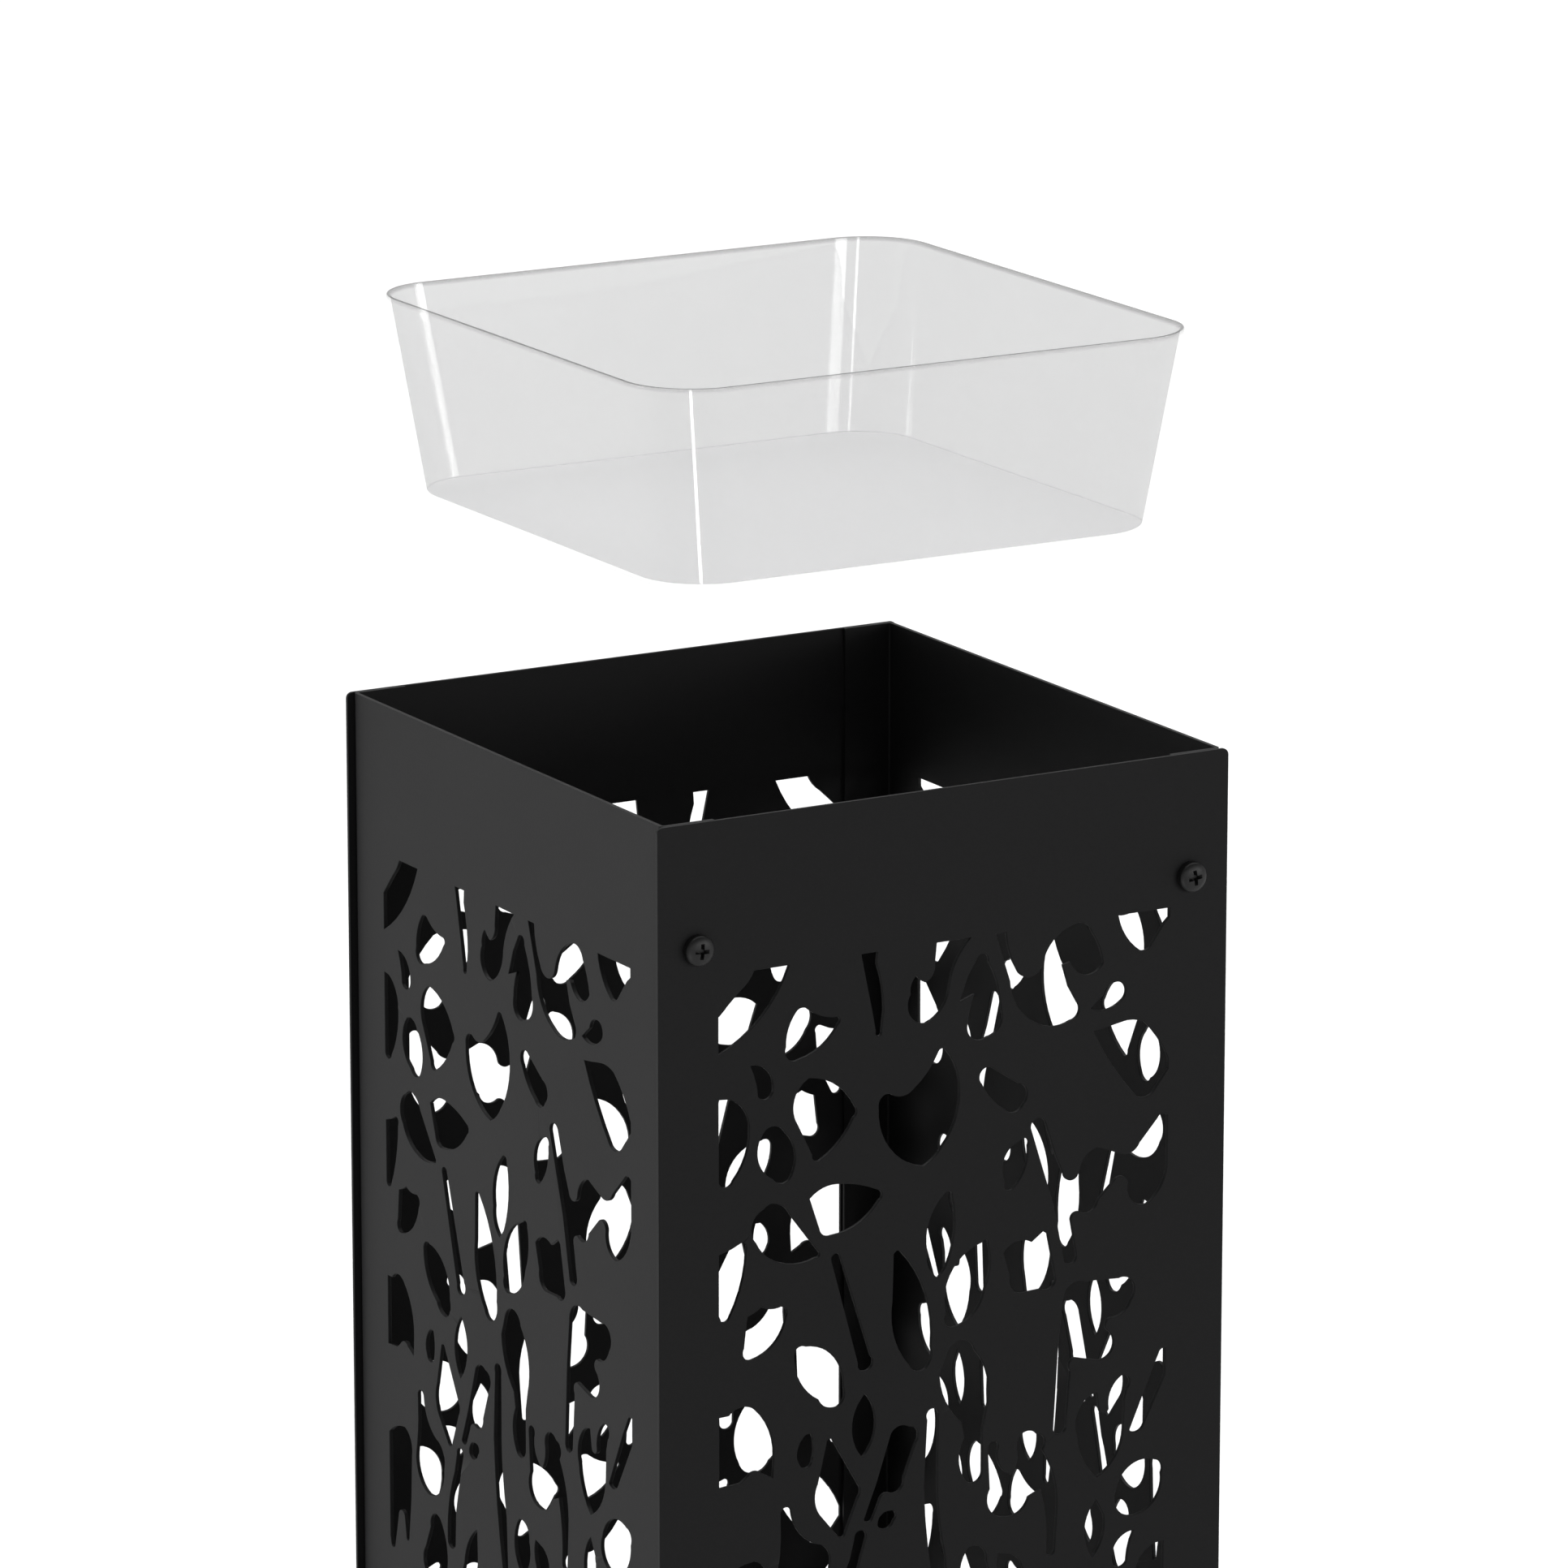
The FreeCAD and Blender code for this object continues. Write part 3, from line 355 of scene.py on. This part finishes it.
SHANKS = {"upper": 5.0, "lower": 6.0}
HEIGHTS = {"upper": 460 * MM, "lower": 20 * MM}
TURNS = {"left": -4, "right": 8}
SCREW_ACROSS = 67.1 * MM
PLATE_FACE = 77.5 * MM
SCREW_MESHES = {level: cut_screw(length) for level, length in SHANKS.items()}
LAY_FORWARD = Matrix.Rotation(math.radians(90), 4, "X")
for side, across in (("left", -1), ("right", 1)):
    for level, ready in SCREW_MESHES.items():
        screw = bmesh.new()
        screw.from_mesh(ready)
        spin = Matrix.Rotation(math.radians(TURNS[side]), 4, "Z")
        tip = Matrix.Translation((across * SCREW_ACROSS, SHANKS[level] * MM - PLATE_FACE, HEIGHTS[level]))
        bmesh.ops.transform(screw, matrix=tip @ LAY_FORWARD @ spin, verts=screw.verts)
        finish_piece(screw, f"screw_{level}_{side}", screw_black)
print("four screws")

# %% [markdown]
# ## Clinch nuts
#
# A clinch nut is pressed into the sheet, so the screw needs no loose nut behind it. These were pressed in
# before the sheet was coated and the screws are black as well, so the same dark paint serves. The
# body is spun with chamfered edges and a bore. An upper nut sits behind two layers of sheet and a lower
# one behind three.

# %% Make the nuts
NUT_PROFILE = [(2.1, -1.0), (2.7, -1.0), (2.7, 0.0), (3.95, 0.0), (3.95, 1.7), (3.65, 2.0), (2.4, 2.0),
               (2.05, 1.7), (2.05, -0.95), (2.1, -1.0)]
LAY_BACKWARD = Matrix.Rotation(math.radians(-90), 4, "X")
for side, across in (("left", -1), ("right", 1)):
    for level, layers in (("upper", 2), ("lower", 3)):
        nut = spin_profile([(radius * MM, height * MM) for radius, height in NUT_PROFILE], 36)
        seat = Matrix.Translation((across * SCREW_ACROSS, layers * MM - PLATE_FACE, HEIGHTS[level]))
        bmesh.ops.transform(nut, matrix=seat @ LAY_BACKWARD, verts=nut.verts)
        finish_piece(nut, f"clinch_nut_{level}_{side}", screw_black)
print("four clinch nuts")

# %% [markdown]
# ## Rubber feet
#
# Four self-adhesive rubber bumpers: flat on top, with a generously rounded lower edge. Rubber is dull
# and slightly dusty, which a high roughness and a soft low-contrast noise give.


# %% Paint the rubber and make the feet
def make_rubber():
    paint = Paint("black rubber")
    dust = paint.noise(260, 4.0)
    paint.feed(paint.surface.inputs["Base Color"],
               paint.mix(dust, (0.010, 0.010, 0.010, 1), (0.028, 0.027, 0.026, 1)))
    paint.feed(paint.surface.inputs["Roughness"], 0.72 + dust * 0.18)
    paint.feed(paint.surface.inputs["Normal"], paint.bump(dust, 0.04 * MM, 0.6))
    return paint.material


rubber = make_rubber()
FOOT_RADIUS = 9.0
FOOT_ROUND = 1.5
FOOT_HEIGHT = 6.0
FOOT_PLACE = 59.0 * MM
foot_profile = [(0, FOOT_HEIGHT), (FOOT_RADIUS - 0.2, FOOT_HEIGHT), (FOOT_RADIUS, FOOT_HEIGHT - 0.2)]
foot_profile += arc_points((FOOT_RADIUS - FOOT_ROUND, FOOT_ROUND), FOOT_ROUND, 0, -90, 8)
foot_profile += [(2.0, 0.0), (0, 0.0)]
for end, along in (("front", -1), ("back", 1)):
    for side, across in (("left", -1), ("right", 1)):
        foot = spin_profile([(radius * MM, height * MM) for radius, height in foot_profile], 48)
        bmesh.ops.translate(foot, vec=(across * FOOT_PLACE, along * FOOT_PLACE, 0), verts=foot.verts)
        finish_piece(foot, f"foot_{end}_{side}", rubber)
print("four feet")

# %% [markdown]
# ## Clear tray
#
# The tray is one moulding of clear plastic with leaning walls and round corners. It starts as a flat
# square whose four corners are rounded, the floor. Its outline is extruded up and each corner is moved
# outwards, so the corners keep their radius while the walls lean. The floor's edge is bevelled, the
# sheet gets its thickness inwards, on the side its normals face, and the rim its small radius.
#
# Layers of clear plastic darken each other. This paint keeps the tray one even grey instead, which is a
# studio look and not physics: the outer faces cover almost nothing, the inner faces and the floor carry
# the grey, and a face seen from behind covers nothing. The rim, the outline and the fold round the floor
# are darker: a painted shade, near black, in the base colour.


# %% Paint the clear plastic
# The rim's painted shade, a dark band, in metres: where it starts and how deep it is.
PAINTED_RIM_SHADE_LOW, PAINTED_RIM_SHADE_DEPTH = 0.5888, 0.0009
# Makes the floor's upper face count as an inner face and its underside as an outer one.
FLOOR_PULL = (0, 0, -0.03)
# The last cover is extra cover where the painted shade lies, so that the dark line shows.
OUTER_COVER, INNER_COVER, FLOOR_COVER, PAINTED_LINE_COVER = 0.05, 0.35, 0.11, 0.17


def inner_faces(paint):
    """1 on the inner walls, the floor's upper face and the rim, 0 on the outer faces."""
    normal = paint.node("ShaderNodeTexCoord", {}, {}, "Normal")
    away = paint.node("ShaderNodeVectorMath", {"operation": "MULTIPLY_ADD"},
                      {0: paint.place(), 1: (1, 1, 0), 2: FLOOR_PULL})
    outward = paint.node("ShaderNodeVectorMath", {"operation": "DOT_PRODUCT"}, {0: normal, 1: away}, 1)
    return paint.node("ShaderNodeMath", {"operation": "LESS_THAN"}, {0: outward, 1: 0.0})


def make_clear_plastic():
    """Near walls are almost invisible; the inner faces behind them and the rim carry the grey, and a painted
    shade darkens the rim, the outline and the fold round the floor.
    """
    paint = Paint("clear moulded plastic", Roughness=0.3)
    paint.surface.inputs["Specular IOR Level"].default_value = 0.0
    facing = paint.node("ShaderNodeLayerWeight", {}, {"Blend": 0.5}, "Facing")
    height = paint.node("ShaderNodeSeparateXYZ", {}, {0: paint.place()}, "Z")
    rim = paint.node("ShaderNodeMath", {"operation": "MULTIPLY_ADD", "use_clamp": True},
                     {0: height, 1: 1 / PAINTED_RIM_SHADE_DEPTH, 2: -PAINTED_RIM_SHADE_LOW / PAINTED_RIM_SHADE_DEPTH})
    normal = paint.node("ShaderNodeTexCoord", {}, {}, "Normal")
    upward = paint.node("ShaderNodeSeparateXYZ", {}, {0: normal}, "Z")
    level = paint.ramp(upward, 0.5, 0.95)
    slope = paint.node("ShaderNodeMath", {"operation": "MULTIPLY", "use_clamp": True},
                       {0: upward * 4.0, 1: 1 - upward})
    fold = slope ** 4.0 * 0.5
    outline = paint.ramp(facing, 0.88, 1.0)
    # The mask of the painted shade: the outline and the fold round the floor, or the rim's band where it is
    # larger.
    edge = paint.node("ShaderNodeMath", {"operation": "MAXIMUM"}, {0: outline + fold, 1: rim})
    seen_in_front = 1 - paint.node("ShaderNodeNewGeometry", {}, {}, "Backfacing")
    # Painted shade: the base colour goes from plain grey to near black under that mask.
    paint.feed(paint.surface.inputs["Base Color"],
               paint.mix(edge, (0.37, 0.37, 0.375, 1), (0.08, 0.08, 0.08, 1)))
    cover = OUTER_COVER + inner_faces(paint) * INNER_COVER + level * FLOOR_COVER
    cover = cover + edge * PAINTED_LINE_COVER + paint.noise(30, 3.0) * 0.02
    paint.feed(paint.surface.inputs["Alpha"], cover * seen_in_front)
    skin = paint.node("ShaderNodeBsdfGlossy", {}, {"Roughness": 0.04})
    gloss = 0.045 + facing ** 5.0 * 0.10
    body = Wire(paint, paint.surface.outputs[0])
    both = paint.node("ShaderNodeMixShader", {}, {0: gloss, 1: body, 2: skin})
    paint.feed(paint.tree.nodes["Material Output"].inputs["Surface"], both)
    return paint.material


clear_plastic = make_clear_plastic()

# %% Mould the tray
TRAY_FOOT = 135.0 * MM
TRAY_RIM = 147.8 * MM
TRAY_CORNER = 17.0 * MM
TRAY_BOTTOM = 541.5 * MM
TRAY_HEIGHT = 48.5 * MM
TRAY_WALL = 1.0 * MM
FLOOR_EDGE = 1.2 * MM
RIM_EDGE = 0.3 * MM


def mould_tray():
    """The tray as a thin open sheet, standing where the frame has it."""
    shape = bmesh.new()
    bmesh.ops.create_grid(shape, x_segments=1, y_segments=1, size=TRAY_FOOT / 2)
    bmesh.ops.bevel(shape, geom=shape.verts[:], offset=TRAY_CORNER, offset_type="OFFSET", affect="VERTICES",
                    segments=20, profile=0.5, material=-1, clamp_overlap=False)
    raised = bmesh.ops.extrude_edge_only(shape, edges=shape.edges[:])
    rim = [item for item in raised["geom"] if isinstance(item, bmesh.types.BMVert)]
    spread = (TRAY_RIM - TRAY_FOOT) / 2
    for side_x in (-1, 1):
        for side_y in (-1, 1):
            corner = [vert for vert in rim if vert.co.x * side_x > 0 and vert.co.y * side_y > 0]
            bmesh.ops.translate(shape, vec=(side_x * spread, side_y * spread, TRAY_HEIGHT), verts=corner)
    floor_edges = [edge for edge in shape.edges if max(vert.co.z for vert in edge.verts) < 1e-6]
    bmesh.ops.bevel(shape, geom=floor_edges, offset=FLOOR_EDGE, offset_type="OFFSET", affect="EDGES",
                    segments=4, profile=0.5, material=-1, clamp_overlap=True)
    bmesh.ops.recalc_face_normals(shape, faces=shape.faces)
    bmesh.ops.translate(shape, vec=(0, 0, TRAY_BOTTOM), verts=shape.verts)
    return shape


tray = finish_piece(mould_tray(), "tray", clear_plastic)
wall = tray.modifiers.new("wall thickness", "SOLIDIFY")
wall.thickness = TRAY_WALL
wall.offset = 1
wall.use_even_offset = True
rim_round = tray.modifiers.new("rounded rim", "BEVEL")
rim_round.width = RIM_EDGE
rim_round.segments = 3
rim_round.limit_method = "ANGLE"
rim_round.angle_limit = math.radians(60)
tray.modifiers.move(0, 2)
print("tray:", [round(value * 1000, 1) for value in tray.dimensions])

# %% [markdown]
# ## Floor and light
#
# A plain pale floor fills the view behind the bin. The big soft light hangs over the floor behind it, so
# that the floor is almost white while the dark walls keep their depth. A soft light on the left
# makes the left wall clearly lighter than the front. Three softboxes in front give the tray's inner
# corners their bright bands, because clear plastic is mostly seen by what it reflects, and a low strip
# that faces up does the same for its front corner, which leans out and mirrors the floor.


# %% Lay the floor
def make_floor_paint():
    paint = Paint("pale studio floor", Roughness=0.9)
    cloud = paint.noise(0.7, 2.0)
    paint.feed(paint.surface.inputs["Base Color"],
               paint.mix(cloud, (0.90, 0.90, 0.90, 1), (0.93, 0.93, 0.93, 1)))
    paint.surface.inputs["Specular IOR Level"].default_value = 0.0
    return paint.material


floor_shape = bmesh.new()
bmesh.ops.create_grid(floor_shape, x_segments=1, y_segments=1, size=40)
floor_mesh = bpy.data.meshes.new("studio floor")
floor_shape.to_mesh(floor_mesh)
floor_shape.free()
floor_mesh.materials.append(make_floor_paint())
floor = bpy.data.objects.new("studio floor", floor_mesh)
bpy.context.scene.collection.objects.link(floor)
print("floor laid")

# %% Hang the lights
def hang_light(name, place, aim, size, watts):
    """A rectangular soft light at place, turned towards aim. The size is (width, height) in metres."""
    lamp = bpy.data.lights.new(name, "AREA")
    lamp.shape = "RECTANGLE"
    lamp.size, lamp.size_y = size
    lamp.energy = watts
    holder = bpy.data.objects.new(name, lamp)
    holder.location = place
    holder.visible_camera = False
    holder.rotation_euler = (Vector(aim) - Vector(place)).to_track_quat("-Z", "Y").to_euler()
    bpy.context.scene.collection.objects.link(holder)
    return holder


def round_the_bin(azimuth, distance, height):
    """A place round the bin; azimuth 0 is in front of it and 90 on its right."""
    turn = math.radians(azimuth)
    return (math.sin(turn) * distance, -math.cos(turn) * distance, height)


TRAY_MIDDLE = (0, 0, 0.56)
hang_light("large overhead light", (1.1, 2.2, 4.4), (1.1, 2.2, 0), (6.5, 6.5), 328)
hang_light("left soft light", (-2.2, 1.2, 0.30), (0, 0, 0.30), (1.5, 0.5), 21)
hang_light("right front softbox", round_the_bin(15, 2.8, 0.76), TRAY_MIDDLE, (1.05, 0.38), 8)
hang_light("narrow front softbox", round_the_bin(-16, 3.2, 1.02), TRAY_MIDDLE, (0.22, 0.46), 2.6)
hang_light("right softbox", round_the_bin(40, 2.8, 0.70), TRAY_MIDDLE, (0.65, 0.55), 10)
STRIP_AZIMUTH = -31
strip_place = round_the_bin(STRIP_AZIMUTH, 1.1, 0.02)
floor_strip = hang_light("low strip in front", strip_place, (0, 0, 1), (0.08, 1.0), 2.2)
floor_strip.rotation_euler = (math.pi, 0, math.radians(STRIP_AZIMUTH))

# %% Light the room
LOW_SKY = 0.22, 0.85
HIGH_SKY = 0.45, 0.17
room = bpy.data.worlds.new("studio room")
room.use_nodes = True
room_nodes = room.node_tree.nodes
direction = room_nodes.new("ShaderNodeTexCoord")
height = room_nodes.new("ShaderNodeSeparateXYZ")
shade = room_nodes.new("ShaderNodeValToRGB")
for stop, (position, grey) in zip(shade.color_ramp.elements, (LOW_SKY, HIGH_SKY)):
    stop.position = position
    stop.color = (grey, grey, grey, 1)
room.node_tree.links.new(direction.outputs["Generated"], height.inputs["Vector"])
room.node_tree.links.new(height.outputs["Z"], shade.inputs["Fac"])
room.node_tree.links.new(shade.outputs["Color"], room_nodes["Background"].inputs["Color"])
bpy.context.scene.world = room
bpy.context.scene.view_settings.view_transform = "Standard"
print("room light from", LOW_SKY[1], "low down to", HIGH_SKY[1], "above")

# %% [markdown]
# ## Camera
#
# The bin is seen from the front left, a little from above and through a long lens, so its edges stay
# nearly parallel. The view takes in the tray and the upper part of the walls.

# %% Set the camera
TURN = math.radians(-30.03)
LIFT = math.radians(14.05)
AIM = Vector((0.0005, -0.0003, 0.4741))
DISTANCE = 2.182
lens = bpy.data.cameras.new("studio camera")
lens.lens = 208.6
lens.sensor_width = 36
lens.clip_end = 200
camera = bpy.data.objects.new("studio camera", lens)
backwards = Vector((math.sin(TURN) * math.cos(LIFT), -math.cos(TURN) * math.cos(LIFT), math.sin(LIFT)))
camera.location = AIM + backwards * DISTANCE
camera.rotation_euler = (-backwards).to_track_quat("-Z", "Y").to_euler()
bpy.context.scene.collection.objects.link(camera)
bpy.context.scene.camera = camera
print("camera at", tuple(round(value, 3) for value in camera.location))
